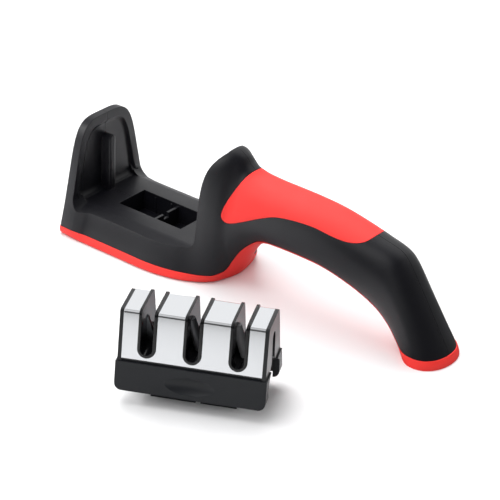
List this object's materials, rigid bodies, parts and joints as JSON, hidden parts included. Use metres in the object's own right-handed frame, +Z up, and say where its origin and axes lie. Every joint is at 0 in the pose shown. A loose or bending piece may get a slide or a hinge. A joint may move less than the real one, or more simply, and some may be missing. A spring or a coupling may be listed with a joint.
{
  "type": "knife sharpener",
  "caption": "Hand-held pull-through knife sharpener: an arched holder with a soft grip and sole, and a lift-out cartridge with blade, diamond and ceramic slots.",
  "frame": {"origin": "on the table, under the middle of the holder's bay", "axes": "+X along the holder towards the foot, +Y to the rear, +Z up"},
  "size_m": [0.2115, 0.1505, 0.0643],
  "materials": {
    "black_plastic": "satin moulded plastic",
    "red_grip": "smooth soft grip",
    "red_sole": "smooth soft sole",
    "screw_steel": "plain zinc",
    "skirt_plastic": "satin moulded plastic",
    "mirror_metal": "mirror polished",
    "gloss_black": "glossy moulded plastic",
    "carbide": "ground carbide",
    "diamond_rod": "fine diamond grit on steel",
    "ceramic_rod": null
  },
  "bodies": {
    "holder": {"body_front_shell": "black_plastic", "body_rear_shell": "black_plastic", "grip_inlay": "red_grip", "soft_underside": "red_sole", "shell_screws": "screw_steel"},
    "cartridge": {"cartridge_base": "skirt_plastic", "cartridge_housing": "black_plastic", "metal_cover": "mirror_metal", "slot_guide_blades": "gloss_black", "slot_guide_diamond": "gloss_black", "slot_guide_ceramic": "gloss_black", "carbide_blade_front": "carbide", "carbide_blade_rear": "carbide", "blade_clamp_screw": "screw_steel", "diamond_rod_front": "diamond_rod", "diamond_rod_rear": "diamond_rod", "ceramic_rod_front": "ceramic_rod", "ceramic_rod_rear": "ceramic_rod", "cartridge_screws": "screw_steel"}
  },
  "joints": [
    {"name": "cartridge_lift", "type": "slide", "parent": "holder", "child": "cartridge", "axis": [0, 0, 1], "range_m": [0, 0.09]}
  ]
}
